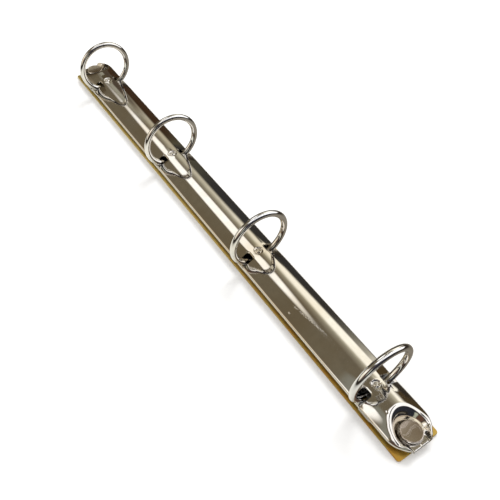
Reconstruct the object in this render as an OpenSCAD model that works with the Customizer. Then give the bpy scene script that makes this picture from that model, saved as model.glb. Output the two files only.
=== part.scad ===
// Four-ring binder mechanism on a base plate.
// A sprung cover holds two hinge plates by their outer edges; each plate carries one half of
// every ring. The two plates meet along the centre line, below the hinges when the rings are
// shut and above them when the rings are open. Millimetres, rings shut.
// Origin: centre of the base plate's underside. X along the mechanism, Y across it, Z up.

/* [Rings] */
// Distance from one ring to the next, to suit the punched holes
ring_pitch = 80; // [60:1:82]
// Clear diameter inside a closed ring
ring_inner_d = 24.4; // [22:0.1:30]
// Diameter of the ring wire
wire_d = 3; // [2.4:0.1:3.4]
// Length over which the two ring tips lap side by side
tip_lap = 2; // [1:0.1:3]
// Height of the ring centres above the crown of the cover
ring_centre_rise = 8.6; // [8:0.1:9.5]
// Angle, from straight down, at which the wire is cut off over the hinge plate
foot_angle = 24; // [22:0.5:27]

/* [Cover] */
// Length of the cover from lip to lip
cover_l = 293; // [285:1:310]
// Width of the cover over its rolled edges
cover_w = 20.1; // [19.5:0.1:21]
// Height of the crown above the base plate's top face
cover_rise = 7.9; // [7.5:0.1:9]
// Thickness of the cover's sheet
cover_t = 0.65; // [0.5:0.05:0.8]
// Outer radius of the rounded crown
crown_r = 12.7; // [11:0.1:14]
// Slope of the flat flanks
flank_angle = 30; // [26:1:34]
// Angle through which each long edge is rolled under its hinge plate
edge_roll = 160; // [150:1:162]

/* [Cover ends] */
// Distance from the lip back to the rivet
rivet_inset = 6.2; // [5.9:0.1:7]
// Distance from the lip back to the centre of the rounded end
end_round = 9.4; // [9:0.1:10]
// Height of the land's underside above the base plate
land_rise = 1.6; // [1:0.1:2]
// Radius of the dish's floor around the rivet
dish_r = 6; // [5.4:0.1:6.4]
// Lean of the dish's wall from the vertical
dish_lean = 27; // [20:1:32]
// Width of the lip
lip_w = 8.8; // [7.8:0.1:9]
// Angle at which the dish's sides close towards the lip
throat_angle = 10; // [6:1:14]
// Width of the step pressed into one side of the lip
lip_step_w = 3.4; // [2:0.1:4]
// Height of that step
lip_step_h = 0.3; // [0.2:0.05:0.5]

/* [Slots and dimples] */
// Width of a ring slot along the cover
slot_w = 4.8; // [4.2:0.1:6]
// Reach of a ring slot inwards from the cover's side
slot_reach = 6.1; // [5.6:0.1:6.6]
// Corner radius at the inner end of a slot
slot_corner_r = 1.2; // [0.6:0.1:1.8]
// Diameter of the dimple beside each ring
dimple_d = 4.2; // [3:0.1:5]
// Depth of the dimple
dimple_depth = 0.3; // [0.15:0.05:0.4]
// Diameter of the flat pip in the dimple
dimple_pip_d = 2.2; // [1:0.1:2.6]

/* [Hinge plates] */
// Thickness of a hinge plate
plate_t = 1; // [0.8:0.05:1.1]
// Angle between a shut plate and the level
plate_drop = 7.75; // [6:0.25:8.5]
// Distance from one locking finger to the next
finger_pitch = 20; // [14:1:26]
// Width of a locking finger
finger_w = 7; // [4:0.5:8]
// Reach of a locking finger past the centre line
finger_reach = 0.9; // [0.5:0.1:1.2]
// Diameter of the tenon that stakes a ring to its plate
tenon_d = 1.8; // [1.4:0.1:2]
// Diameter of the tenon's peened end
peen_d = 2.9; // [2.4:0.1:3.1]
// Thickness of the peened end
peen_h = 0.45; // [0.3:0.05:0.6]

/* [Base plate] */
// Distance from the lip back to the end of the base plate
base_inset = 1; // [0.5:0.1:3]
// Width of the base plate
base_w = 20.6; // [20:0.1:24]
// Thickness of the base plate
base_t = 1; // [0.8:0.1:1.5]
// Corner radius of the base plate
base_corner_r = 1.2; // [0.5:0.1:3]

/* [Rivets] */
// Diameter of the rivet's flat head
head_d = 8.4; // [7:0.1:8.8]
// Diameter of the flange under the head
flange_d = 9.6; // [9:0.1:10.4]
// Thickness of the flange
flange_h = 0.5; // [0.3:0.05:0.8]
// Height of the whole head above the land
head_h = 1.95; // [1.5:0.05:2.4]
// Diameter of the rivet's shank
shank_d = 4; // [3:0.1:4.5]
// Diameter of the collar between the base plate and the land
collar_d = 8; // [7:0.1:9]

/* [Clearances] */
// Radial play of a plate's rounded edge in the rolled edge of the cover
hinge_play = 0.1; // [0.05:0.01:0.1]
// Gap between the two plates, and round the fingers, when they lie level
seam_gap = 0.1; // [0.06:0.01:0.2]
// Gap beside a finger in its notch
finger_gap = 0.25; // [0.15:0.05:0.4]
// Gap between the lapped ring tips
tip_gap = 0.1; // [0.06:0.01:0.15]
// Radial play of a tenon or a shank in its hole
pin_play = 0.04; // [0.02:0.01:0.08]
// Distance from the end of a hinge plate to the wall of the dish
plate_end_gap = 1.4; // [1:0.1:3]
// Height left under the wire where it leaves a slot
slot_floor_rise = 0.5; // [0.4:0.05:0.6]

/* [Hidden] */
$fn = 96;
far = 400;                                       // larger than the whole mechanism
eps = 0.01;                                      // overlap that keeps a cut clean
blend = 0.002;                                   // lets an arc cross a flank it would touch

left = -1;
right = 1;
ring_x = [for (i = [0:3]) (i - 1.5) * ring_pitch];

// Heights
crown_z = base_t + cover_rise;
land_z = base_t + land_rise;
land_top_z = land_z + cover_t;
ring_z = crown_z + ring_centre_rise;
ring_r = ring_inner_d / 2 + wire_d / 2;          // radius of the wire's centre line

// Section of the cover
roll_in_r = plate_t / 2 + hinge_play;            // inside of the rolled edge
roll_out_r = roll_in_r + cover_t;
pivot_y = cover_w / 2 - roll_out_r;
flank_y = crown_r * sin(flank_angle);            // where the crown runs into the flank
flank_z = crown_z - crown_r * (1 - cos(flank_angle));
flank_l = (pivot_y + roll_out_r * sin(flank_angle) - flank_y) / cos(flank_angle);
pivot_z = flank_z - flank_l * sin(flank_angle) - roll_out_r * cos(flank_angle);

// Ends of the cover
lip_x = cover_l / 2;
rivet_x = lip_x - rivet_inset;
dome_x = lip_x - end_round;
wall_t = cover_t / cos(dish_lean);               // the leaning wall, measured level
throat_d = lip_w / 2 * cos(throat_angle) + rivet_inset * sin(throat_angle)
    - wall_t + cover_t * tan(dish_lean);         // from the rivet's axis to the throat's side

// Hinge plates
plate_top = plate_t / 2;
plate_w = pivot_y - seam_gap / 2;
dish_back_r = dish_r + (pivot_z + plate_t - land_top_z) * tan(dish_lean) + wall_t;
plate_end_x = rivet_x - dish_back_r - plate_end_gap;
finger_count = floor((plate_end_x - finger_w) / finger_pitch);
finger_x = [for (i = [-finger_count:finger_count]) i * finger_pitch];

// Foot of a ring: the tenon stands in the middle of the flat that rests on the plate
foot_reach = (pivot_y - ring_r * sin(foot_angle)) / cos(plate_drop);
tenon_u = foot_reach - wire_d / 2 + tenon_d / 2;

// ---------------------------------------------------------------- helpers

// Moves its children from a plate's own frame to the row's: the pivot is the origin, +X runs
// along the mechanism, +Y towards the centre line and +Z up through the plate
module plate_frame(side) {
    translate([0, side * pivot_y, pivot_z])
        rotate([side * plate_drop, 0, 0])
            mirror([0, side == right ? 1 : 0, 0])
                children();
}

// A rectangle with rounded corners, round its own centre
module rounded_rect(l, w, r) {
    square([l - 2 * r, w], center = true);
    square([l, w - 2 * r], center = true);
    for (x = [-1, 1], y = [-1, 1])
        translate([x * (l / 2 - r), y * (w / 2 - r)]) circle(r);
}

// ---------------------------------------------------------------- cover

// Area under the cover's section, drawn inwards by inset: crown, flanks and rolled edges,
// filled down to floor_z
module arch_area(inset, floor_z) {
    edge_y = pivot_y + (roll_out_r - inset) * sin(flank_angle);
    edge_z = pivot_z + (roll_out_r - inset) * cos(flank_angle);
    top_y = (crown_r - inset) * sin(flank_angle);
    top_z = crown_z - crown_r + (crown_r - inset) * cos(flank_angle);
    intersection() {
        translate([0, crown_z - crown_r]) circle(crown_r - inset + blend, $fn = 240);
        translate([-crown_r, top_z - cover_t]) square([2 * crown_r, crown_r]);
    }
    polygon([[-edge_y, edge_z], [-top_y, top_z], [top_y, top_z], [edge_y, edge_z],
             [pivot_y, pivot_z], [pivot_y, floor_z], [-pivot_y, floor_z], [-pivot_y, pivot_z]]);
    for (side = [left, right])
        translate([side * pivot_y, pivot_z]) circle(roll_out_r - inset + blend);
}

// Section of the sheet. The mouth between the two rolled edges is open below.
module cover_section() {
    tuck = 90 - flank_angle - edge_roll;         // where the rolled sheet ends
    tuck_y = pivot_y + 2 * roll_out_r * cos(tuck);
    tuck_z = pivot_z + 2 * roll_out_r * sin(tuck);
    difference() {
        arch_area(0, pivot_z);
        arch_area(cover_t, pivot_z);
        polygon([[-pivot_y, pivot_z], [0, pivot_z + cover_t], [pivot_y, pivot_z],
                 [tuck_y, tuck_z], [-tuck_y, tuck_z]]);
    }
}

// The section run along the mechanism and turned round both ends
module along_and_round() {
    rotate([90, 0, 90]) linear_extrude(2 * dome_x, center = true) children();
    for (end = [-1, 1])
        translate([end * dome_x, 0, 0])
            rotate([0, 0, end == 1 ? -90 : 90])
                rotate_extrude(angle = 180)
                    intersection() {
                        children();
                        translate([0, -far / 2]) square([far / 2, far]);
                    }
}

// Everything on the inner side of one side of the throat, a plane that leans outwards by
// dish_lean and starts at distance d from the rivet's axis
module throat_side(side, d, height) {
    rotate([0, 0, side * (90 - throat_angle)])
        intersection() {
            translate([-far, side == right ? -far : 0, 0]) cube([2 * far, far, height]);
            translate([d, 0, 0]) rotate([0, dish_lean, 0])
                translate([-far, -far, -far]) cube([far, 2 * far, 2 * far]);
        }
}

// The body of a dish: a cone round the rivet and a throat that narrows towards the lip.
// grow widens it by a wall and bottom_z is where it starts.
module dish_body(grow, bottom_z) {
    height = crown_z + 1 - bottom_z;
    widen = grow + (bottom_z - land_top_z) * tan(dish_lean);
    translate([rivet_x, 0, bottom_z]) {
        cylinder(height, dish_r + widen, dish_r + widen + height * tan(dish_lean));
        intersection() {
            throat_side(left, throat_d + widen, height);
            throat_side(right, throat_d + widen, height);
        }
    }
}

// One of the eight slots that the ring halves pass through, cut from its floor upwards
module ring_slot(x, side) {
    inner_y = cover_w / 2 - slot_reach;
    translate([x, side * (inner_y + cover_w / 2), pivot_z + slot_floor_rise])
        linear_extrude(cover_rise) rounded_rect(slot_w, cover_w, slot_corner_r);
}

// The pressed mark beside a ring: a shallow ring groove round a flat pip
module dimple(x) {
    above = dimple_depth + 0.2;
    translate([x, 0, crown_z - dimple_depth])
        rotate_extrude()
            polygon([[dimple_pip_d / 2, 0], [dimple_d / 2 - dimple_depth, 0],
                     [dimple_d / 2 - dimple_depth + above, above],
                     [dimple_pip_d / 2 - above / 2, above]]);
}

module cover_blank() {
    difference() {
        along_and_round() cover_section();
        for (end = [0, 1]) mirror([end, 0, 0]) dish_body(wall_t, land_z);
    }
}

// Wall, land and lip of the dish at the near end
module dish_shell() {
    difference() {
        intersection() {
            dish_body(wall_t, land_z);
            union() {
                along_and_round() arch_area(0, land_z);
                translate([0, -far / 2, land_z]) cube([far, far, cover_t]);
            }
        }
        dish_body(0, land_top_z);
        translate([rivet_x, 0, 0]) cylinder(crown_z, d = shank_d + 2 * pin_play);
    }
}

// The step pressed up into the right-hand side of the lip, clear of the rivet's flange
module lip_step() {
    step_l = rivet_inset - flange_d / 2 - 0.2;
    translate([lip_x - step_l, 0, land_top_z - eps])
        cube([step_l, lip_step_w, lip_step_h + eps]);
}

module cover() {
    color("silver")
        difference() {
            intersection() {
                union() {
                    cover_blank();
                    for (end = [0, 1]) mirror([end, 0, 0]) {
                        dish_shell();
                        lip_step();
                    }
                }
                translate([-lip_x, -far / 2, 0]) cube([2 * lip_x, far, far]);
            }
            for (x = ring_x) {
                dimple(x);
                for (side = [left, right]) ring_slot(x, side);
            }
        }
}

// ---------------------------------------------------------------- hinge plates

// True where a finger of this side stands; the two sides take turns
function has_finger(i, side) = (i % 2 == 0) == (side == left);

module finger(x, grow) {
    translate([x - finger_w / 2 - grow, plate_w - 1, -plate_t])
        cube([finger_w + 2 * grow, 1 + seam_gap / 2 + finger_reach + grow, 2 * plate_t]);
}

module hinge_plate(side) {
    color("gainsboro")
        plate_frame(side)
            difference() {
                union() {
                    translate([-plate_end_x, 0, -plate_top])
                        cube([2 * plate_end_x, plate_w, plate_t]);
                    rotate([0, 90, 0]) cylinder(2 * plate_end_x, d = plate_t, center = true);
                    intersection() {
                        for (i = [0:len(finger_x) - 1])
                            if (has_finger(i, side)) finger(finger_x[i], 0);
                        translate([-far / 2, 0, -plate_top]) cube([far, far, plate_t]);
                    }
                }
                for (i = [0:len(finger_x) - 1])
                    if (!has_finger(i, side))
                        translate([0, pivot_y, 0]) mirror([0, 1, 0]) translate([0, -pivot_y, 0])
                            finger(finger_x[i], finger_gap);
                for (x = ring_x)
                    translate([x, tenon_u, -plate_t])
                        cylinder(2 * plate_t, d = tenon_d + 2 * pin_play);
            }
}

// ---------------------------------------------------------------- rings

// The half of a whole ring that lies on one side, up to its lapped tip
module tip_cut(side) {
    lap = tip_lap / 2;
    translate([-far / 2, side == right ? lap : -far, -far / 2])
        cube([far, far - (side == right ? 0 : lap), far]);
    translate([side == right ? -far : tip_gap / 2, side == right ? -lap + tip_gap : -far, -far / 2])
        cube([far - tip_gap / 2, far + lap - tip_gap, far]);
}

module ring_half(i, side) {
    color("silver") {
        intersection() {
            translate([ring_x[i], 0, ring_z])
                intersection() {
                    rotate([90, 0, 90])
                        rotate([0, 0, side == right ? foot_angle - 90 : 80])
                            rotate_extrude(angle = 190 - foot_angle)
                                translate([ring_r, 0]) circle(d = wire_d);
                    tip_cut(side);
                }
            plate_frame(side) translate([-far / 2, -far / 2, plate_top]) cube(far);
        }
        plate_frame(side) translate([ring_x[i], tenon_u, 0]) {
            translate([0, 0, -plate_top - eps]) cylinder(plate_t + wire_d / 4, d = tenon_d);
            translate([0, 0, -plate_top - peen_h]) cylinder(peen_h, peen_d / 2 - peen_h / 2, peen_d / 2);
        }
    }
}

// ---------------------------------------------------------------- base plate and fastening

module base_plate() {
    color("goldenrod")
        difference() {
            linear_extrude(base_t)
                rounded_rect(cover_l - 2 * base_inset, base_w, base_corner_r);
            for (end = [-1, 1]) translate([end * rivet_x, 0, 0]) {
                translate([0, 0, -base_t]) cylinder(3 * base_t, d = shank_d + 2 * pin_play);
                translate([0, 0, -eps]) cylinder(base_t / 2, shank_d / 2 + base_t / 2 + pin_play,
                                                 shank_d / 2 + pin_play);
            }
        }
}

// Flat-headed rivet, set flush into the countersink under the base plate
module rivet(end) {
    groove = 0.35;
    rim = 0.12;
    head_z = land_top_z + head_h;
    color("silver")
        translate([end * rivet_x, 0, 0])
            rotate_extrude()
                polygon([[0, 0], [shank_d / 2 + base_t / 2 - pin_play, 0], [shank_d / 2, base_t / 2],
                         [shank_d / 2, land_top_z], [flange_d / 2, land_top_z],
                         [flange_d / 2, land_top_z + flange_h - groove / 2],
                         [flange_d / 2 - groove / 2, land_top_z + flange_h],
                         [head_d / 2 - groove / 2, land_top_z + flange_h],
                         [head_d / 2 - groove / 2, land_top_z + flange_h + groove],
                         [head_d / 2, land_top_z + flange_h + 2 * groove],
                         [head_d / 2, head_z - groove], [head_d / 2 - groove, head_z],
                         [head_d / 2 - groove - rim, head_z], [head_d / 2 - groove - 2 * rim, head_z - rim],
                         [0, head_z - rim]]);
}

// Collar that carries the land above the base plate
module collar(end) {
    color("silver")
        translate([end * rivet_x, 0, base_t])
            difference() {
                cylinder(land_rise, d = collar_d);
                translate([0, 0, -1]) cylinder(land_rise + 2, d = shank_d + 2 * pin_play);
            }
}

base_plate();
cover();
hinge_plate(left);  // hinge_plate_left
hinge_plate(right);  // hinge_plate_right
ring_half(0, left);  // ring_1_left
ring_half(0, right);  // ring_1_right
ring_half(1, left);  // ring_2_left
ring_half(1, right);  // ring_2_right
ring_half(2, left);  // ring_3_left
ring_half(2, right);  // ring_3_right
ring_half(3, left);  // ring_4_left
ring_half(3, right);  // ring_4_right
rivet(-1);  // rivet_far
rivet(1);  // rivet_near
collar(-1);  // collar_far
collar(1);  // collar_near
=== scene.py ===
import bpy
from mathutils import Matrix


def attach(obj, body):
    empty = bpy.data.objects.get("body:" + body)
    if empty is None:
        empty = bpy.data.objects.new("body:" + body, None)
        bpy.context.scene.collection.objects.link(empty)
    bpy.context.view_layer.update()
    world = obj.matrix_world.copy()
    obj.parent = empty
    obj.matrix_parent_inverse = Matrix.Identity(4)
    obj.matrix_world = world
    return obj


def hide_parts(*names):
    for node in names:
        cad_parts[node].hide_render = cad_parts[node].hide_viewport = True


bl_info = {
    "name": "Ring binder clip",
    "version": (1, 0, 0),
    "blender": (4, 5, 0),
    "location": "View3D > Sidebar > Binder clip",
    "description": "Dresses the ring binder mechanism in plated sheet, wire and rivets, on a pale stage",
    "category": "Object",
}

import math

import bmesh
import bpy
import numpy as np
from bpy.props import FloatProperty, FloatVectorProperty, PointerProperty
from mathutils import Matrix, Vector

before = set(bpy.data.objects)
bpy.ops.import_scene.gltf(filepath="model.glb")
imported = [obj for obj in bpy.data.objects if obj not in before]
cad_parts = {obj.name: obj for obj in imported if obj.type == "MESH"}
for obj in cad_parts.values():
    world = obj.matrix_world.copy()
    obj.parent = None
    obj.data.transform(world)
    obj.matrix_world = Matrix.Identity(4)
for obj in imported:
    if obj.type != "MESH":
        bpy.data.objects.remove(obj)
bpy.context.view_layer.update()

MM = 0.001
CUT_SLACK = 1e-6     # metres by which a cut piece may seem to grow, from rounding alone
LEFT, RIGHT = -1, 1
RING_X = [-120.0, -40.0, 40.0, 120.0]

# Section of the cover, in millimetres: crown arc, flat flank, rolled edge
CROWN_Z = 8.9
CROWN_R = 12.7
FLANK = math.radians(30)
ROLL_R = 1.25
ROLL_TURN = math.radians(160)
SHEET_T = 0.65
PIVOT_Y = 8.8
FLANK_Y = CROWN_R * math.sin(FLANK)
FLANK_Z = CROWN_Z - CROWN_R * (1 - math.cos(FLANK))
FLANK_L = (PIVOT_Y + ROLL_R * math.sin(FLANK) - FLANK_Y) / math.cos(FLANK)
PIVOT_Z = FLANK_Z - FLANK_L * math.sin(FLANK) - ROLL_R * math.cos(FLANK)
CROWN_S = CROWN_R * FLANK
FLANK_S = CROWN_S + FLANK_L
ROLL_S = FLANK_S + ROLL_R * ROLL_TURN

# Ends of the cover
LIP_X = 146.5
DOME_X = 137.1
RIVET_X = 140.3
LAND_TOP = 3.25
DISH_R = 5.4
DISH_LEAN = math.radians(27)
THROAT_D = 5.0
THROAT_TURN = math.radians(10)
SHANK_R = 2.04

# Rings
RING_Z = 17.5
RING_R = 13.7
WIRE_R = 1.5
FOOT_TURN = math.radians(24)
PLATE_DROP = math.radians(7.75)
PLATE_TOP = 0.5
TIP_LAP = 2.0
TIP_GAP = 0.1
TENON_R = 0.9
PEEN_R = 1.45
PEEN_H = 0.45
FOOT_REACH = (PIVOT_Y - RING_R * math.sin(FOOT_TURN)) / math.cos(PLATE_DROP)
TENON_U = FOOT_REACH - WIRE_R + TENON_R

# Slots, and what is pressed into the sheet beside the dishes
SLOT_HALF = 2.4
SLOT_INNER = 3.95
SLOT_CORNER = 1.2
SLOT_DRAW = 0.26
DIMPLE_DEPTH = 0.46
DIMPLE_HALO = 0.07
KNURL_DEPTH = 0.13
KNURL_WAVE = 5.2
LIP_STEP_H = 0.3
LIP_NOSE = 0.22
CURL_DEPTH = 0.21
CURL_Y = 6.4
MARK_X, MARK_Y = 130.4, -4.1
MARK_DEPTH = 0.09
END_X = 120.0

# Base plate and rivets
BASE_HALF_L = 145.5
BASE_HALF_W = 10.3
BASE_T = 1.0
BASE_CORNER = 1.2
HEAD_R = 4.45
FLANGE_R = 4.8
FLANGE_H = 0.5
HEAD_H = 1.95
RIVET_R = 2.0
BASE_SOFT = 0.18

# Wear on the cover, in metres: a nick, and the run of a rubbed line along the sheet
NICK = (0.0740, -0.0075, 0.0065)
RUB_START = (0.072, 0.076)
RUB_END = (0.093, 0.088)

# Camera, in degrees and millimetres; its place is given along its own right, up and back
CAMERA_TURN, CAMERA_LIFT, CAMERA_ROLL = 54.23, 49.55, 2.34
CAMERA_PLACE = (18.77, -19.65, 291.85)
CAMERA_LENS = 41.74


# ------------------------------------------------------------------ mesh helpers

def smooth_min(a, b, reach):
    """The lower of a and b, rounded where they come within reach of each other."""
    near = np.maximum(reach - np.abs(a - b), 0)
    return np.minimum(a, b) - near * near / (4 * reach)


def ease(low, high, value):
    """0 below low, 1 above high, with a soft start and end between."""
    t = np.clip((value - low) / (high - low), 0, 1)
    return t * t * (3 - 2 * t)


def sink(sheet, dish, reach, shoulder):
    """Height of the sheet where it turns over into the dish: a wide shoulder outside, a round inside."""
    drop = dish - sheet
    inside = dish - np.maximum(reach + drop, 0) ** 2 / (4 * reach)
    outside = sheet - reach / 4 * np.maximum(1 - drop / (shoulder * reach), 0) ** (2 * shoulder)
    return np.where(drop < 0, inside, outside)


def make_object(name, points, faces):
    """A mesh object from points in millimetres."""
    mesh = bpy.data.meshes.new(name)
    mesh.from_pydata((np.asarray(points) * MM).tolist(), [], faces)
    obj = bpy.data.objects.new(name, mesh)
    bpy.context.scene.collection.objects.link(obj)
    return obj


def edit(obj, work):
    """Runs work on the object's mesh as a bmesh and writes it back."""
    bm = bmesh.new()
    bm.from_mesh(obj.data)
    work(bm)
    bm.to_mesh(obj.data)
    bm.free()
    obj.data.update()


def grid_faces(rows, columns, closed=False):
    """Quads of a grid of points stored row by row; closed joins the last column to the first."""
    faces = []
    for i in range(rows - 1):
        for j in range(columns if closed else columns - 1):
            k = (j + 1) % columns
            faces.append((i * columns + j, i * columns + k, (i + 1) * columns + k, (i + 1) * columns + j))
    return faces


def lathe(name, profile, centre_x, segments=96):
    """Turns a profile of (radius, z) points about a vertical axis."""
    points = []
    for r, z in profile:
        for k in range(segments):
            a = 2 * math.pi * k / segments
            points.append((centre_x + r * math.cos(a), r * math.sin(a), z))
    faces = grid_faces(len(profile), segments, closed=True)
    obj = make_object(name, points, faces)
    edit(obj, lambda bm: (bmesh.ops.remove_doubles(bm, verts=bm.verts, dist=1e-7),
                          bmesh.ops.holes_fill(bm, edges=bm.edges, sides=0),
                          bmesh.ops.recalc_face_normals(bm, faces=bm.faces)))
    return obj


def rounded(corners, radii, steps=5):
    """A profile through corners, each turned with its own radius."""
    out = []
    n = len(corners)
    for i, (x, z) in enumerate(corners):
        r = radii[i]
        if r <= 0 or i in (0, n - 1):
            out.append((x, z))
            continue
        a = np.array(corners[i - 1], float) - (x, z)
        b = np.array(corners[i + 1], float) - (x, z)
        a /= np.linalg.norm(a)
        b /= np.linalg.norm(b)
        half = math.acos(np.clip(a @ b, -1, 1)) / 2
        back = r / math.tan(half)
        centre = np.array((x, z)) + (a + b) / np.linalg.norm(a + b) * r / math.sin(half)
        start = np.array((x, z)) + a * back - centre
        end = np.array((x, z)) + b * back - centre
        a0, a1 = math.atan2(start[1], start[0]), math.atan2(end[1], end[0])
        turn = (a1 - a0 + math.pi) % (2 * math.pi) - math.pi
        for k in range(steps + 1):
            t = a0 + turn * k / steps
            out.append((centre[0] + r * math.cos(t), centre[1] + r * math.sin(t)))
    return out


def mesh_box(obj):
    """Lowest and highest corner of the object's mesh."""
    places = np.array([v.co for v in obj.data.vertices])
    return places.min(axis=0), places.max(axis=0)


def cut_away(obj, cutter):
    """Takes cutter out of obj and deletes it. A cut that adds to obj or leaves it whole is an error."""
    low, high = mesh_box(obj)
    corners = len(obj.data.vertices)
    cut = obj.modifiers.new("cut", "BOOLEAN")
    cut.object = cutter
    cut.operation = "DIFFERENCE"
    cut.solver = "MANIFOLD"
    apply_modifiers(obj)
    bpy.data.objects.remove(cutter)
    new_low, new_high = mesh_box(obj)
    if (new_low < low - CUT_SLACK).any() or (new_high > high + CUT_SLACK).any():
        raise RuntimeError(f"{obj.name} kept part of its cutter")
    if len(obj.data.vertices) == corners:
        raise RuntimeError(f"nothing was cut from {obj.name}")


def apply_modifiers(obj):
    """Replaces the object's mesh by what its modifiers make of it."""
    graph = bpy.context.evaluated_depsgraph_get()
    mesh = bpy.data.meshes.new_from_object(obj.evaluated_get(graph))
    obj.modifiers.clear()
    old = obj.data
    obj.data = mesh
    bpy.data.meshes.remove(old)
    mesh.name = obj.name


def break_edges(obj, width, angle=40, segments=2):
    """A small round on every edge sharper than angle."""
    bevel = obj.modifiers.new("edge", "BEVEL")
    bevel.width = width * MM
    bevel.segments = segments
    bevel.limit_method = "ANGLE"
    bevel.angle_limit = math.radians(angle)
    bevel.use_clamp_overlap = True
    apply_modifiers(obj)


def shade(obj, angle=32):
    """Smooth shading with edges sharper than angle left crisp."""
    obj.data.polygons.foreach_set("use_smooth", [True] * len(obj.data.polygons))
    obj.data.set_sharp_from_angle(angle=math.radians(angle))


def join(obj, other):
    """Adds the mesh of other to obj and deletes other."""
    bm = bmesh.new()
    bm.from_mesh(obj.data)
    bm.from_mesh(other.data)
    bm.to_mesh(obj.data)
    bm.free()
    bpy.data.objects.remove(other)


def finish_piece(obj, body, node, material):
    """Gives a piece its material and slot, lets it stand for its CAD node and rides it on a body."""
    obj.data.materials.clear()
    obj.data.materials.append(material)
    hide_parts(node)
    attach(obj, body)


# ------------------------------------------------------------------ cover

def section(s):
    """Distance from the centre line, height and outward tilt of the sheet at length s round it."""
    on_crown, on_flank = s <= CROWN_S, (s > CROWN_S) & (s <= FLANK_S)
    tilt = np.where(on_crown, s / CROWN_R, np.where(on_flank, FLANK, FLANK + (s - FLANK_S) / ROLL_R))
    out = np.where(on_crown, CROWN_R * np.sin(tilt),
                   np.where(on_flank, FLANK_Y + (s - CROWN_S) * math.cos(FLANK),
                            PIVOT_Y + ROLL_R * np.sin(tilt)))
    z = np.where(on_crown, CROWN_Z - CROWN_R * (1 - np.cos(tilt)),
                 np.where(on_flank, FLANK_Z - (s - CROWN_S) * math.sin(FLANK),
                          PIVOT_Z + ROLL_R * np.cos(tilt)))
    return out, z, tilt


def dish_height(x, y):
    """Height of the pressed dish at a point measured from the rivet's axis: floor, then wall."""
    azimuth = np.arctan2(np.abs(y), x)
    round_wall = np.hypot(x, y) - DISH_R
    side_wall = np.abs(y) * math.cos(THROAT_TURN) + x * math.sin(THROAT_TURN) - THROAT_D
    side_wall = np.where(azimuth < math.pi / 2 - THROAT_TURN, side_wall, 99.0)
    from_edge = smooth_min(round_wall, side_wall, 0.8)
    rise = -smooth_min(-from_edge, np.zeros_like(from_edge), 1.6 - 1.1 * ease(2.0, 4.0, x))
    return LAND_TOP + rise / math.tan(DISH_LEAN)


def slot_distance(x, y):
    """Distance in plan from the edge of the nearest slot, positive on the sheet."""
    from_side = np.abs(x) - SLOT_HALF + SLOT_CORNER
    from_end = SLOT_INNER + SLOT_CORNER - np.abs(y)
    corner = np.hypot(np.maximum(from_side, 0), np.maximum(from_end, 0))
    return corner + np.minimum(np.maximum(from_side, from_end), 0) - SLOT_CORNER


def press(points, tilt, rim):
    """Presses the dish, lip, curled edge and tool mark of each end, and each ring's dimple and slots."""
    x, y, z = points.T.copy()
    far = np.abs(x)
    under = ease(math.radians(95), math.radians(135), tilt) * (SHEET_T + 0.05)
    dish = dish_height(far - RIVET_X, y) - under
    step = LIP_STEP_H * ease(145.1, 145.3, far) * ease(-0.1, 0.1, y) * ease(-3.5, -3.3, -y)
    rim = rim * (1 - 0.8 * ease(1.0, 4.2, far - RIVET_X))
    shoulder = 1.3 + 1.1 * ease(0.0, 6.0, -y) * ease(-140, -134, -far)
    z = np.where(far > END_X, sink(z, dish, rim, shoulder) + step * (tilt < 2), z)
    low = np.maximum(np.abs(y) - CURL_Y, 0)
    curl = ease(121.5, 123.0, far) * ease(-135, -124, -far) * np.where(y < 0, 1, 0.2)
    z -= CURL_DEPTH * curl * low * low / (low + 0.5) * (tilt < 1.7)
    z -= LIP_NOSE * (1 - ease(0.0, 0.4, LIP_X - far)) ** 2 * (tilt < 1.2)
    for ring in RING_X:
        r = np.hypot(x - ring, y)
        groove = DIMPLE_DEPTH * ease(0.85, 1.2, r) * ease(-2.15, -1.6, -r)
        z -= groove - DIMPLE_HALO * ease(1.9, 2.2, r) * ease(-2.8, -2.2, -r)
        knurl = KNURL_DEPTH * (1 - ease(0.5, 0.85, r))
        z -= knurl * np.sin(KNURL_WAVE * (x - ring)) * np.sin(KNURL_WAVE * y)
        z -= SLOT_DRAW * (1 - ease(0.0, 0.6, slot_distance(x - ring, y))) ** 2
    mark = np.hypot((x - MARK_X) / 0.75, (y - MARK_Y + 0.25 * (x - MARK_X)) / 0.22)
    z -= MARK_DEPTH * (1 - ease(0.3, 1.0, mark)) * (tilt < 1)
    return np.stack([x, y, z], 1)


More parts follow.
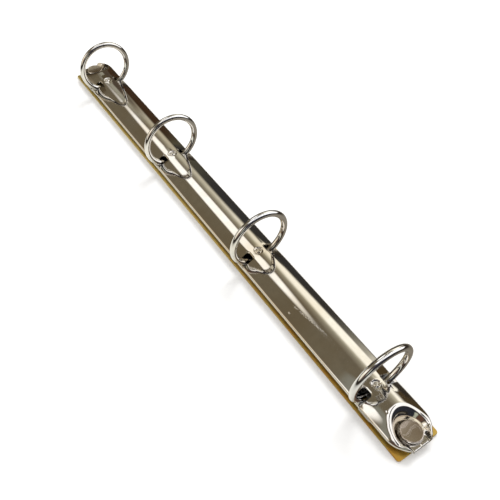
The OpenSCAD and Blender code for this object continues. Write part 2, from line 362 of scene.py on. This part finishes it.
def cover_grid():
    """Points on the sheet's outer face and their quads: a long strip and a round half at each end."""
    crown = np.linspace(0, CROWN_S, 35)
    flank = np.linspace(CROWN_S, FLANK_S, 19)[1:]
    roll = np.linspace(FLANK_S, ROLL_S, 17)[1:]
    s = np.concatenate([crown, flank, roll])
    across = np.concatenate([-s[:0:-1], s])
    along = list(np.arange(-126, 127, 6.0))
    for ring in RING_X:
        along += list(np.arange(ring - 2.5, ring + 2.51, 0.25))
    for end in (-1, 1):
        along += list(end * np.linspace(127, DOME_X, 41))
    along = np.array(sorted(set(np.round(along, 4))))

    grid_x, grid_q = np.meshgrid(along, across, indexing="ij")
    out, z, tilt = section(np.abs(grid_q).ravel())
    strip = np.stack([grid_x.ravel(), out * np.sign(grid_q.ravel()), z], 1)
    parts = [(strip, tilt, grid_faces(len(along), len(across)))]
    for end in (-1, 1):
        turns = np.linspace(-math.pi / 2, math.pi / 2, 161)
        turn, ring_s = np.meshgrid(turns, s, indexing="ij")
        turn, ring_s = turn.ravel(), ring_s.ravel()
        kept = 0.34 + 0.66 * ease(math.radians(32), math.radians(58), np.abs(turn))
        ring_s = np.where(ring_s > FLANK_S, FLANK_S + (ring_s - FLANK_S) * kept, ring_s)
        out, z, tilt = section(ring_s)
        spread = (ease(math.radians(4), math.radians(25), np.abs(turn))
                  * ease(-math.radians(48), -math.radians(25), -np.abs(turn)))
        out = out * (1 + 0.034 * spread * ease(8.5, 10.0, out))
        half = np.stack([end * (DOME_X + out * np.cos(turn)), out * np.sin(turn), z], 1)
        faces = grid_faces(len(turns), len(s))
        parts.append((half, tilt, faces if end == 1 else [f[::-1] for f in faces]))
    return parts


def cover_cutters():
    """Everything that is punched out of the sheet: the ring slots and the holes for the rivets."""
    cutter = bmesh.new()

    def prism(outline, low, high):
        bottom = [cutter.verts.new((x * MM, y * MM, low * MM)) for x, y in outline]
        top = [cutter.verts.new((x * MM, y * MM, high * MM)) for x, y in outline]
        n = len(outline)
        cutter.faces.new(bottom[::-1])
        cutter.faces.new(top)
        for k in range(n):
            cutter.faces.new((bottom[k], bottom[(k + 1) % n], top[(k + 1) % n], top[k]))

    half, inner, corner = SLOT_HALF, SLOT_INNER, SLOT_CORNER
    for ring in RING_X:
        for side in (LEFT, RIGHT):
            outline = [(ring + half, side * 16), (ring + half, side * (inner + corner))]
            for k in range(1, 13):
                a = math.pi / 2 * k / 12
                outline.append((ring + half - corner + corner * math.cos(a),
                                side * (inner + corner - corner * math.sin(a))))
            outline += [(2 * ring - x, y) for x, y in outline[::-1]]
            prism(outline if side == LEFT else outline[::-1], PIVOT_Z + 0.5, 14)
    for end in (-1, 1):
        prism([(end * RIVET_X + SHANK_R * math.cos(2 * math.pi * k / 48),
                SHANK_R * math.sin(2 * math.pi * k / 48)) for k in range(48)], 1.2, 12)
    mesh = bpy.data.meshes.new("cutter")
    bmesh.ops.recalc_face_normals(cutter, faces=cutter.faces)
    cutter.to_mesh(mesh)
    cutter.free()
    obj = bpy.data.objects.new("cutter", mesh)
    bpy.context.scene.collection.objects.link(obj)
    return obj


def thicken(bm):
    """Adds the sheet's inner face and the faces along its edges."""
    bmesh.ops.remove_doubles(bm, verts=bm.verts, dist=2e-7)
    bmesh.ops.recalc_face_normals(bm, faces=bm.faces)
    top = max(bm.faces, key=lambda f: f.calc_center_median().z)
    if top.normal.z < 0:
        bmesh.ops.reverse_faces(bm, faces=bm.faces)
    for end in (-1, 1):
        bmesh.ops.bisect_plane(bm, geom=bm.verts[:] + bm.edges[:] + bm.faces[:], dist=1e-8,
                               plane_co=(end * LIP_X * MM, 0, 0), plane_no=(end, 0, 0), clear_outer=True)
    bm.normal_update()
    outer_faces = list(bm.faces)
    rim = [(e.link_loops[0].vert, e.link_loops[0].link_loop_next.vert) for e in bm.edges if e.is_boundary]
    inner = {v: v.co - v.normal * SHEET_T * MM for v in bm.verts}
    for v, place in inner.items():
        if abs(place.x) > LIP_X * MM or abs(v.co.x) > (LIP_X - 0.001) * MM:
            place.x = math.copysign(LIP_X * MM, place.x)
    inner = {v: bm.verts.new(place) for v, place in inner.items()}
    for f in outer_faces:
        bm.faces.new([inner[v] for v in f.verts][::-1])
    for a, b in rim:
        bm.faces.new((b, a, inner[a], inner[b]))


def build_cover(rim):
    """The pressed, thickened and punched sheet; rim is the reach of the dish's rounding."""
    points, faces, base = [], [], 0
    for part, tilt, part_faces in cover_grid():
        points.append(press(part, tilt, rim))
        faces += [tuple(i + base for i in f) for f in part_faces]
        base += len(part)
    obj = make_object("cover_sheet", np.concatenate(points), faces)
    edit(obj, thicken)
    cut_away(obj, cover_cutters())
    return obj


# ------------------------------------------------------------------ rings

def plate_frame(side):
    """From a hinge plate's own frame to the clip's, in metres: pivot at the origin, Y inwards."""
    turn = Matrix.Rotation(side * PLATE_DROP, 4, "X")
    flip = Matrix.Diagonal((1, -side, 1, 1))
    return Matrix.Translation((0, side * PIVOT_Y * MM, PIVOT_Z * MM)) @ turn @ flip


def tip_cutter(side):
    """What a ring's half leaves to the other half at the lapped tips."""
    lap, gap = TIP_LAP / 2, TIP_GAP
    outline = [(4, side * lap), (-gap / 2, side * lap), (-gap / 2, side * (gap - lap)),
               (-4, side * (gap - lap)), (-4, -side * 6), (4, -side * 6)]
    if side == LEFT:
        outline = [(-x, y) for x, y in outline]
    n = len(outline)
    points = [(x, y, RING_Z) for x, y in outline] + [(x, y, RING_Z + 20) for x, y in outline]
    faces = [tuple(range(n)), tuple(range(2 * n - 1, n - 1, -1))]
    faces += [(k, k + n, (k + 1) % n + n, (k + 1) % n) for k in range(n)]
    obj = make_object("cutter", points, faces)
    edit(obj, lambda bm: bmesh.ops.recalc_face_normals(bm, faces=bm.faces))
    return obj


def build_ring(name, side):
    """One half of a ring at the middle of the clip, with its flat foot, tenon and peened end."""
    around, along = 40, 112
    points = []
    for turn in np.linspace(FOOT_TURN, math.pi + math.radians(7), along):
        radial = np.array((0, side * math.sin(turn), -math.cos(turn)))
        for k in range(around):
            a = 2 * math.pi * k / around
            points.append(np.array((0, 0, RING_Z)) + radial * (RING_R + WIRE_R * math.cos(a))
                          + np.array((WIRE_R * math.sin(a), 0, 0)))
    ends = [tuple(range(around)), tuple(range(along * around - 1, (along - 1) * around - 1, -1))]
    obj = make_object(name, points, grid_faces(along, around, closed=True) + ends)
    plate = plate_frame(side)

    def seat(bm):
        cut = bmesh.ops.bisect_plane(bm, geom=bm.verts[:] + bm.edges[:] + bm.faces[:], dist=1e-8,
                                     plane_co=plate @ Vector((0, 0, PLATE_TOP * MM)),
                                     plane_no=plate.to_3x3() @ Vector((0, 0, 1)), clear_inner=True)
        foot = [e for e in cut["geom_cut"] if isinstance(e, bmesh.types.BMEdge)]
        bmesh.ops.holes_fill(bm, edges=foot, sides=0)
        bmesh.ops.recalc_face_normals(bm, faces=bm.faces)

    edit(obj, seat)
    cut_away(obj, tip_cutter(side))
    break_edges(obj, 0.2)
    peen_low = -PLATE_TOP - PEEN_H
    tenon = lathe("tenon", rounded([(0, peen_low), (PEEN_R - PEEN_H / 2, peen_low), (PEEN_R, -PLATE_TOP),
                                    (TENON_R, -PLATE_TOP), (TENON_R, PLATE_TOP + WIRE_R / 2),
                                    (0, PLATE_TOP + WIRE_R / 2)], [0, 0.3, 0.1, 0, 0, 0]), 0, 32)
    tenon.data.transform(plate @ Matrix.Translation((0, TENON_U * MM, 0)))
    join(obj, tenon)
    return obj


# ------------------------------------------------------------------ base plate and fastening

def build_rivet(name, end):
    """Flat-headed rivet: flange, groove, thick head with a thin raised rim, shank and set end."""
    top = LAND_TOP + HEAD_H
    neck = HEAD_R - 0.8
    flange_top = LAND_TOP + FLANGE_H
    corners = [(0, 0), (RIVET_R + 0.46, 0), (RIVET_R, 0.5), (RIVET_R, LAND_TOP), (FLANGE_R, LAND_TOP),
               (FLANGE_R, flange_top), (neck, flange_top), (neck, flange_top + 0.3),
               (HEAD_R, flange_top + 0.55), (HEAD_R, top), (HEAD_R - 0.3, top),
               (HEAD_R - 0.4, top - 0.1), (0, top - 0.1)]
    radii = [0, 0.08, 0.05, 0, 0, 0.2, 0.08, 0.1, 0.15, 0.22, 0.05, 0.05, 0]
    return lathe(name, rounded(corners, radii), end * RIVET_X)


def build_base(name):
    """The flat base plate with softened edges and two countersunk holes."""
    outline = []
    for sx, sy, start in ((1, 1, 0), (-1, 1, 90), (-1, -1, 180), (1, -1, 270)):
        for k in range(9):
            a = math.radians(start + 90 * k / 8)
            outline.append((sx * (BASE_HALF_L - BASE_CORNER) + BASE_CORNER * math.cos(a),
                            sy * (BASE_HALF_W - BASE_CORNER) + BASE_CORNER * math.sin(a)))
    n = len(outline)
    soft = BASE_SOFT
    layers = []
    for inset, z in ((soft, 0), (soft * 0.3, soft * 0.3), (0, soft), (0, BASE_T - soft),
                     (soft * 0.3, BASE_T - soft * 0.3), (soft, BASE_T)):
        layers += [(x * (1 - inset / abs(x)), y * (1 - inset / abs(y)), z) for x, y in outline]
    faces = grid_faces(6, n, closed=True)
    faces += [tuple(range(n))[::-1], tuple(range(5 * n, 6 * n))]
    obj = make_object(name, layers, faces)
    edit(obj, lambda bm: bmesh.ops.recalc_face_normals(bm, faces=bm.faces))
    for end in (-1, 1):
        cut_away(obj, lathe("cutter", [(0, -1), (SHANK_R + 1.5, -1), (SHANK_R + 0.5, 0), (SHANK_R, 0.5),
                                       (SHANK_R, 3), (0, 3)], end * RIVET_X, 64))
    return obj


# ------------------------------------------------------------------ materials

class Nodes:
    """Short forms for building a node tree."""

    def __init__(self, tree):
        self.tree = tree
        tree.nodes.clear()

    def add(self, kind, inputs=(), **attributes):
        """A new node with its attributes set and its inputs filled or linked."""
        node = self.tree.nodes.new(kind)
        for key, value in attributes.items():
            setattr(node, key, value)
        for key, value in dict(inputs).items():
            self.put(node, key, value)
        return node

    def put(self, node, key, value):
        if isinstance(value, bpy.types.NodeSocket):
            self.tree.links.new(value, node.inputs[key])
        elif isinstance(value, bpy.types.Node):
            self.tree.links.new(value.outputs[0], node.inputs[key])
        else:
            node.inputs[key].default_value = value

    def math(self, operation, *values):
        return self.add("ShaderNodeMath", dict(enumerate(values)), operation=operation).outputs[0]

    def vector(self, operation, a, b):
        return self.add("ShaderNodeVectorMath", {0: a, 1: b}, operation=operation).outputs[0]

    def length(self, a):
        return self.add("ShaderNodeVectorMath", {0: a}, operation="LENGTH").outputs["Value"]

    def soft_step(self, value, low, high):
        """0 below low, 1 above high (or the other way round), with soft ends."""
        node = self.add("ShaderNodeMapRange", {0: value, 1: low, 2: high},
                        interpolation_type="SMOOTHSTEP")
        return node.outputs[0]

    def mix(self, factor, a, b):
        node = self.add("ShaderNodeMix", data_type="RGBA")
        self.put(node, 0, factor)
        self.put(node, 6, a)
        self.put(node, 7, b)
        return node.outputs[2]

    def ramp(self, factor, stops, interpolation="LINEAR"):
        node = self.add("ShaderNodeValToRGB", {0: factor})
        node.color_ramp.interpolation = interpolation
        elements = node.color_ramp.elements
        while len(elements) < len(stops):
            elements.new(0.5)
        for element, (place, colour) in zip(elements, stops):
            element.position = place
            element.color = (*colour, 1) if len(colour) == 3 else colour
        return node.outputs[0]


def grey(value):
    return (value, value, value)


def new_material(name):
    material = bpy.data.materials.new(name)
    material.use_nodes = True
    return material, Nodes(material.node_tree)


def score_lines(n, where):
    """Thin curling lines, narrow bands round three levels of a broad noise."""
    curls = n.add("ShaderNodeTexNoise", {"Vector": where, "Scale": 150.0, "Detail": 0.5,
                                         "Distortion": 0.8}).outputs[0]
    return n.ramp(curls, [(level + d, grey(1.0 - abs(d) / 0.006)) for level in (0.45, 0.5, 0.54)
                          for d in (-0.006, 0, 0.006)])


def wear_marks(n, where):
    """A nick in the flank, and a rubbed line of fine dots where the crown meets it."""
    offset = n.vector("ADD", where, tuple(-c for c in NICK))
    offset = n.vector("MULTIPLY", offset, (1400.0, 3000.0, 1400.0))
    axes = n.add("ShaderNodeSeparateXYZ", {0: where}).outputs
    line = n.math("ABSOLUTE", n.math("ADD", axes[1], n.math("MULTIPLY_ADD", axes[0], -0.137, 0.0147)))
    dots = n.add("ShaderNodeTexNoise", {"Vector": where, "Scale": 1900.0, "Detail": 1.0}).outputs[0]
    rubbed = n.math("MULTIPLY", n.soft_step(line, 0.00035, 0.0001), n.soft_step(dots, 0.5, 0.6))
    for low, high in (RUB_START, RUB_END):
        rubbed = n.math("MULTIPLY", rubbed, n.soft_step(axes[0], low, high))
    return n.math("ADD", n.soft_step(n.length(offset), 1.0, 0.2), rubbed)


def rivet_painted_sheen_and_shade(n, where, base, height):
    """Painted highlight on the lower part of the head's side above a height, and painted shade on the groove
    and flange below it.
    """
    z = n.add("ShaderNodeSeparateXYZ", {0: where}).outputs[2]
    # Painted highlight: a pale band on the head's side
    base = n.mix(n.soft_step(z, height + 0.0008, height + 0.0006), base, (0.92, 0.90, 0.86, 1))
    # Painted shade: dark below the height, in the groove and on the flange
    return n.mix(n.soft_step(z, height, height - 0.0004), base, (0.34, 0.31, 0.27, 1))


def passivation_and_painted_light(n, where, base, tint):
    """Spots of a second tint, and a paler gold towards the far end, which is painted light."""
    spots = n.add("ShaderNodeTexNoise", {"Vector": where, "Scale": 140.0, "Detail": 2.0}).outputs[0]
    base = n.mix(n.ramp(spots, [(0.42, grey(0.0)), (0.62, grey(0.75))]), base, (*tint, 1))
    # Painted light: the gold is made paler towards the far end
    x = n.add("ShaderNodeSeparateXYZ", {0: where}).outputs[0]
    return n.mix(n.math("MULTIPLY", n.soft_step(x, 0.14, -0.08), 0.85), base, (0.74, 0.57, 0.18, 1))


def plated(name, colour, roughness, scratch, swirl=0.0, tint=None, metallic=1.0, scored=0.0,
           painted_light_height=0.0, worn=False):
    """Bright plating on steel: fine scratches, a faint unevenness of the sheet and cloudy haze."""
    material, n = new_material(name)
    where = n.add("ShaderNodeTexCoord").outputs["Object"]
    cloud = n.add("ShaderNodeTexNoise", {"Vector": where, "Scale": 320.0, "Detail": 4.0}).outputs[0]
    fine = n.add("ShaderNodeMapping", {"Vector": where, "Scale": (260.0, 5200.0, 5200.0)})
    lines = n.add("ShaderNodeTexNoise", {"Vector": fine, "Scale": 1.0, "Detail": 3.0}).outputs[0]
    haze = n.math("MULTIPLY_ADD", cloud, 0.06, roughness - 0.03)
    wave = n.add("ShaderNodeTexNoise", {"Vector": where, "Scale": 90.0, "Detail": 1.0}).outputs[0]
    bump_wave = n.add("ShaderNodeBump", {"Strength": swirl, "Distance": 0.00004, "Height": wave})
    bump = n.add("ShaderNodeBump", {"Strength": scratch, "Distance": 0.000004, "Height": lines,
                                    "Normal": bump_wave})
    base = n.mix(n.ramp(cloud, [(0.3, grey(0.0)), (0.75, grey(1.0))]), (*colour, 1),
                 (*[c * 0.9 for c in colour], 1))
    stain = n.add("ShaderNodeTexNoise", {"Vector": where, "Scale": 42.0, "Detail": 3.0}).outputs[0]
    base = n.mix(n.ramp(stain, [(0.45, grey(0.0)), (0.72, grey(0.7))]), base,
                 (colour[0] * 0.82, colour[1] * 0.74, colour[2] * 0.62, 1))
    if scored:
        score = score_lines(n, where)
        bump = n.add("ShaderNodeBump", {"Strength": scored, "Distance": 0.00001, "Height": score,
                                        "Normal": bump}, invert=True)
        base = n.mix(n.math("MULTIPLY", score, 0.5), base, (*[c * 0.35 for c in colour], 1))
    if worn:
        bump = n.add("ShaderNodeBump", {"Strength": 1.0, "Distance": 0.00012,
                                        "Height": wear_marks(n, where), "Normal": bump})
    # Painted light on the rivets: a painted highlight on the head's side and painted shade in the groove
    # below, split at this height
    if painted_light_height:
        base = rivet_painted_sheen_and_shade(n, where, base, painted_light_height)
    # Spots of a second tint, and painted light: the gold made paler towards the far end
    if tint:
        base = passivation_and_painted_light(n, where, base, tint)
    shader = n.add("ShaderNodeBsdfPrincipled", {"Base Color": base, "Metallic": metallic,
                                                "Roughness": haze, "Normal": bump})
    n.add("ShaderNodeOutputMaterial", {"Surface": shader})
    return material


# ------------------------------------------------------------------ stage

def build_world():
    """A studio to reflect, laid out by the angle round the clip's long axis, and a white backdrop."""
    world = bpy.data.worlds.new("studio")
    bpy.context.scene.world = world
    world.use_nodes = True
    n = Nodes(world.node_tree)
    split = n.add("ShaderNodeSeparateXYZ", {0: n.add("ShaderNodeTexCoord").outputs["Generated"]})
    x, y, z = split.outputs
    angle = n.math("MULTIPLY", n.math("ARCTAN2", y, z), 180 / math.pi)     # 0 straight up, +90 towards +Y

    # Walls and ceiling as a run of colours round the axis
    walls = [(-180, (0.30, 0.29, 0.27)), (-100, (0.35, 0.33, 0.29)), (-84, (0.9, 0.83, 0.70)),
             (-58, (1.15, 1.04, 0.86)), (-46, (0.26, 0.21, 0.145)), (-38, (0.198, 0.168, 0.115)),
             (16, (0.190, 0.160, 0.110)), (24, (0.27, 0.235, 0.175)), (33, (0.37, 0.34, 0.26)),
             (41, (0.60, 0.565, 0.45)), (49, (0.72, 0.68, 0.545)), (180, (0.72, 0.68, 0.545))]
    seen = n.ramp(n.math("MULTIPLY_ADD", angle, 1 / 360, 0.5), [(a / 360 + 0.5, c) for a, c in walls])

    def lay(factor, colour):
        return n.mix(factor, seen, (*colour, 1))

    def oval(colour, along, turn, half_along, half_turn, soft, lean=0.0):
        """A soft-edged oval panel: its place along X and round it, its two half sizes and its lean."""
        da = n.math("MULTIPLY_ADD", x, 1 / half_along, -along / half_along)
        slant = n.math("MULTIPLY_ADD", x, -lean, along * lean - turn)
        db = n.math("MULTIPLY", n.math("ADD", angle, slant), 1 / half_turn)
        far_off = n.math("ADD", n.math("MULTIPLY", da, da), n.math("MULTIPLY", db, db))
        return lay(n.soft_step(far_off, 1 + soft, 1 - soft), colour)

    # Ceiling light that widens towards the near end, and the dark room beyond it
    seen = oval((1.5, 1.47, 1.34), -0.22, 70, 0.34, 21, 0.6, 45)
    widening = n.math("MULTIPLY_ADD", n.math("MINIMUM", n.math("MAXIMUM", x, -0.6), -0.26), 90, 60 + 54)
    edge = n.math("MULTIPLY_ADD", n.soft_step(x, -0.26, -0.23), -26, widening)
    dark = [(0.14, (0.062, 0.034, 0.018)), (0.158, (0.115, 0.108, 0.075)),
            (0.185, (0.045, 0.044, 0.044)), (0.32, (0.046, 0.044, 0.043)), (0.40, (0.085, 0.060, 0.030))]
    room = n.ramp(n.math("MULTIPLY_ADD", x, 0.5, 0.5), dark)
    seen = n.mix(n.soft_step(n.math("SUBTRACT", angle, edge), -8, 9), seen, room)
    # Far end: a dim corner with one pale patch, brown and then black at the very end
    seen = oval((0.10, 0.075, 0.055), -0.83, 48, 0.08, 22, 0.6)
    seen = oval((0.44, 0.43, 0.36), -0.80, 24, 0.05, 11, 0.7)
    seen = lay(n.soft_step(x, -0.8065, -0.8095), (0.11, 0.085, 0.05))
    seen = lay(n.soft_step(x, -0.87, -0.92), (0.03, 0.024, 0.018))
    # The window over the middle and a low lamp beside the near end
    seen = oval((1.6, 1.6, 1.58), -0.585, 4.5, 0.19, 15.5, 0.42, -8)
    seen = oval((0.30, 0.30, 0.26), -0.19, -34, 0.08, 14, 0.9)
    seen = oval((1.6, 1.6, 1.6), -0.20, -52, 0.12, 12, 0.7)
    # Towards the near end: a dim wall, a broad lamp, a dark line and a red-brown patch in front
    # of it, a dark wall with a grey-green patch past it, and a dark band low down
    seen = lay(n.soft_step(x, -0.05, 0.05), (0.10, 0.08, 0.07))
    seen = oval((1.6, 1.62, 1.7), 0.27, 38, 0.36, 58, 0.3)
    seen = oval((1.6, 1.62, 1.7), 0.03, -4, 0.14, 22, 0.35)
    seen = oval((0.03, 0.027, 0.024), 0.22, 8, 0.13, 15, 0.3, -110)
    seen = oval((0.15, 0.08, 0.055), 0.33, -60, 0.22, 20, 0.4)
    seen = lay(n.soft_step(x, 0.64, 0.70), (0.03, 0.032, 0.045))
    seen = oval((0.62, 0.66, 0.56), 0.68, -55, 0.11, 16, 0.8)
    low = n.math("MULTIPLY", n.soft_step(z, 0.08, 0.02), n.soft_step(x, -0.1, 0.2))
    seen = lay(low, (0.03, 0.027, 0.022))

    path = n.add("ShaderNodeLightPath")
    glossy = n.add("ShaderNodeBackground", {"Color": seen, "Strength": 1.0})
    plain = n.add("ShaderNodeBackground", {"Color": (1.0, 0.99, 0.97, 1), "Strength": 0.85})
    white = n.add("ShaderNodeBackground", {"Color": (1, 1, 1, 1), "Strength": 1.0})
    lit = n.add("ShaderNodeMixShader", {0: path.outputs["Is Glossy Ray"], 1: plain, 2: glossy})
    out = n.add("ShaderNodeMixShader", {0: path.outputs["Is Camera Ray"], 1: lit, 2: white})
    n.add("ShaderNodeOutputWorld", {"Surface": out})


def build_floor():
    """A wide pale table top that keeps the clip's shadow; the metal mirrors it as a painted reflection, pale
    beside the -Y side, dark beside the +Y side and darker further off.
    """
    obj = make_object("table_top", [(-2500, -2500, 0), (2500, -2500, 0), (2500, 2500, 0), (-2500, 2500, 0)],
                      [(0, 1, 2, 3)])
    obj.location.z = -0.00005
    material, n = new_material("table_white")
    where = n.add("ShaderNodeTexCoord").outputs["Object"]
    grain = n.add("ShaderNodeTexNoise", {"Vector": where, "Scale": 60.0, "Detail": 3.0}).outputs[0]
    colour = n.ramp(grain, [(0.3, grey(0.90)), (0.7, grey(0.94))])
    matt = n.add("ShaderNodeBsdfDiffuse", {"Color": colour})
    glow = n.add("ShaderNodeEmission", {"Color": (1, 1, 1, 1), "Strength": 0.08})
    # Painted reflection: the table as glossy rays see it, pale beside -Y, dark beside +Y and darker further
    # off
    away = n.length(n.vector("MULTIPLY", where, (0.35, 1.0, 1.0)))
    across = n.add("ShaderNodeSeparateXYZ", {0: where}).outputs[1]
    side = n.mix(n.soft_step(across, -0.008, 0.012), (0.85, 0.85, 0.80, 1), (0.24, 0.22, 0.19, 1))
    sheet = n.mix(n.soft_step(away, 0.035, 0.14), side, (0.03, 0.025, 0.02, 1))
    mirrored = n.add("ShaderNodeBsdfDiffuse", {"Color": sheet})
    path = n.add("ShaderNodeLightPath")
    bright = n.add("ShaderNodeAddShader", {0: matt, 1: glow})
    dim = n.add("ShaderNodeMixShader", {0: path.outputs["Is Glossy Ray"], 1: matt, 2: mirrored})
    n.add("ShaderNodeOutputMaterial",
          {"Surface": n.add("ShaderNodeMixShader", {0: path.outputs["Is Camera Ray"], 1: dim, 2: bright})})
    obj.data.materials.append(material)


def area_lamp(name, place, target, size, power):
    """A rectangular lamp aimed at target, not itself mirrored by the plating."""
    data = bpy.data.lights.new(name, "AREA")
    data.shape = "RECTANGLE"
    data.size, data.size_y = size
    data.energy = power
    obj = bpy.data.objects.new(name, data)
    bpy.context.scene.collection.objects.link(obj)
    obj.location = place
    obj.rotation_mode = "QUATERNION"
    obj.rotation_quaternion = (Vector(target) - Vector(place)).to_track_quat("-Z", "Y")
    obj.visible_glossy = False
    return obj


def build_camera():
    """The camera, turned round the clip, lifted above the table and rolled about its own axis."""
    turn, lift, roll = (math.radians(a) for a in (CAMERA_TURN, CAMERA_LIFT, CAMERA_ROLL))
    back = np.array([math.sin(turn) * math.cos(lift), -math.cos(turn) * math.cos(lift), math.sin(lift)])
    right = np.array([math.cos(turn), math.sin(turn), 0.0])
    up = np.cross(back, right)
    axes = np.array([[math.cos(roll), math.sin(roll), 0], [-math.sin(roll), math.cos(roll), 0], [0, 0, 1]])
    axes = axes @ np.vstack([right, up, back])
    place = axes.T @ np.array(CAMERA_PLACE) * MM
    data = bpy.data.cameras.new("camera")
    data.sensor_width = 36
    data.lens = CAMERA_LENS
    data.clip_start, data.clip_end = 0.01, 20
    obj = bpy.data.objects.new("camera", data)
    bpy.context.scene.collection.objects.link(obj)
    world = Matrix(axes.T.tolist()).to_4x4()
    world.translation = place
    obj.matrix_world = world
    bpy.context.scene.camera = obj


# ------------------------------------------------------------------ settings and operators

class BinderClipSettings(bpy.types.PropertyGroup):
    rim_round: FloatProperty(name="Dish rim", description="Height over which the dish's rim is rounded",
                             default=0.004, min=0.0005, max=0.006, unit="LENGTH")
    nickel_colour: FloatVectorProperty(name="Nickel", description="Colour of the bright plating",
                                       subtype="COLOR", size=3, default=(0.70, 0.665, 0.605), min=0, max=1)
    wire_colour: FloatVectorProperty(name="Wire nickel", description="Colour of the plating on the rings",
                                     subtype="COLOR", size=3, default=(0.86, 0.85, 0.82), min=0, max=1)
    rivet_colour: FloatVectorProperty(name="Rivet nickel", description="Colour of the plating on the rivets",
                                      subtype="COLOR", size=3, default=(0.65, 0.57, 0.49), min=0, max=1)
    zinc_colour: FloatVectorProperty(name="Zinc", description="Colour of the hidden plates and collars",
                                     subtype="COLOR", size=3, default=(0.56, 0.56, 0.55), min=0, max=1)
    gold_colour: FloatVectorProperty(name="Yellow plating", description="Colour of the base plate",
                                     subtype="COLOR", size=3, default=(0.50, 0.27, 0.035), min=0, max=1)


def settings():
    """The sizes and colours that belong to the scene."""
    return bpy.context.scene.binder_clip


class BINDERCLIP_OT_stage(bpy.types.Operator):
    """Makes the camera, the lamp, the studio and the table top"""
    bl_idname = "binder_clip.stage"
    bl_label = "Stage"

    def execute(self, context):
        context.scene.view_settings.view_transform = "Standard"
        build_camera()
        build_world()
        build_floor()
        area_lamp("key", (-0.25, 0.45, 0.75), (0, 0, 0), (0.45, 0.3), 4.2)
        return {"FINISHED"}


class BINDERCLIP_OT_cover(bpy.types.Operator):
    """Makes the pressed and plated cover"""
    bl_idname = "binder_clip.cover"
    bl_label = "Cover"

    def execute(self, context):
        obj = build_cover(settings().rim_round / MM)
        shade(obj)
        nickel = plated("bright_nickel", settings().nickel_colour, 0.07, 0.12, 0.06, worn=True)
        finish_piece(obj, "frame", "cover", nickel)
        return {"FINISHED"}


class BINDERCLIP_OT_rings(bpy.types.Operator):
    """Makes both halves of the four rings"""
    bl_idname = "binder_clip.rings"
    bl_label = "Rings"

    def execute(self, context):
        nickel = plated("wire_nickel", settings().wire_colour, 0.06, 0.1, 0.0)
        for side, word in ((LEFT, "left"), (RIGHT, "right")):
            pattern = build_ring("ring_pattern", side)
            for i, ring in enumerate(RING_X):
                obj = pattern.copy()
                obj.data = pattern.data.copy()
                obj.name = f"wire_{i + 1}_{word}"
                bpy.context.scene.collection.objects.link(obj)
                obj.data.transform(Matrix.Translation((ring * MM, 0, 0)))
                shade(obj)
                finish_piece(obj, f"{word}_half", f"ring_{i + 1}_{word}", nickel)
            bpy.data.objects.remove(pattern)
        return {"FINISHED"}


class BINDERCLIP_OT_rivets(bpy.types.Operator):
    """Makes the two flat-headed rivets"""
    bl_idname = "binder_clip.rivets"
    bl_label = "Rivets"

    def execute(self, context):
        # The height splits a painted highlight on the head's side from painted shade in the groove below it.
        nickel = plated("rivet_nickel", settings().rivet_colour, 0.1, 0.15, 0.0, scored=0.5,
                        painted_light_height=(LAND_TOP + HEAD_H - 0.95) * MM)
        for end, word in ((-1, "far"), (1, "near")):
            obj = build_rivet(f"rivet_head_{word}", end)
            shade(obj)
            finish_piece(obj, "frame", f"rivet_{word}", nickel)
        return {"FINISHED"}


class BINDERCLIP_OT_base(bpy.types.Operator):
    """Makes the yellow-plated base plate"""
    bl_idname = "binder_clip.base"
    bl_label = "Base plate"

    def execute(self, context):
        gold = plated("yellow_zinc", settings().gold_colour, 0.32, 0.3, 0.0,
                      tint=(0.40, 0.29, 0.06), metallic=0.7)
        obj = build_base("base_sheet")
        shade(obj)
        finish_piece(obj, "frame", "base_plate", gold)
        return {"FINISHED"}


class BINDERCLIP_OT_plates(bpy.types.Operator):
    """Gives the hinge plates and the collars their dull plating"""
    bl_idname = "binder_clip.plates"
    bl_label = "Hinge plates and collars"

    def execute(self, context):
        zinc = plated("dull_zinc", settings().zinc_colour, 0.28, 0.3, 0.0)
        for name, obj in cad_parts.items():
            if name.startswith(("hinge", "collar")):
                obj.data.materials.clear()
                obj.data.materials.append(zinc)
        return {"FINISHED"}


class BINDERCLIP_PT_panel(bpy.types.Panel):
    bl_label = "Binder clip"
    bl_idname = "BINDERCLIP_PT_panel"
    bl_space_type = "VIEW_3D"
    bl_region_type = "UI"
    bl_category = "Binder clip"

    def draw(self, context):
        for step in STEPS:
            self.layout.operator(step.bl_idname)
        for name in BinderClipSettings.__annotations__:
            self.layout.prop(context.scene.binder_clip, name)


STEPS = (BINDERCLIP_OT_stage, BINDERCLIP_OT_cover, BINDERCLIP_OT_rings, BINDERCLIP_OT_rivets,
         BINDERCLIP_OT_base, BINDERCLIP_OT_plates)
CLASSES = (BinderClipSettings, *STEPS, BINDERCLIP_PT_panel)


def register():
    for cls in CLASSES:
        bpy.utils.register_class(cls)
    bpy.types.Scene.binder_clip = PointerProperty(type=BinderClipSettings)


def unregister():
    del bpy.types.Scene.binder_clip
    for cls in reversed(CLASSES):
        bpy.utils.unregister_class(cls)


def main():
    register()
    for step in STEPS:
        group, name = step.bl_idname.split(".")
        getattr(getattr(bpy.ops, group), name)()


if __name__ == "__main__":
    main()
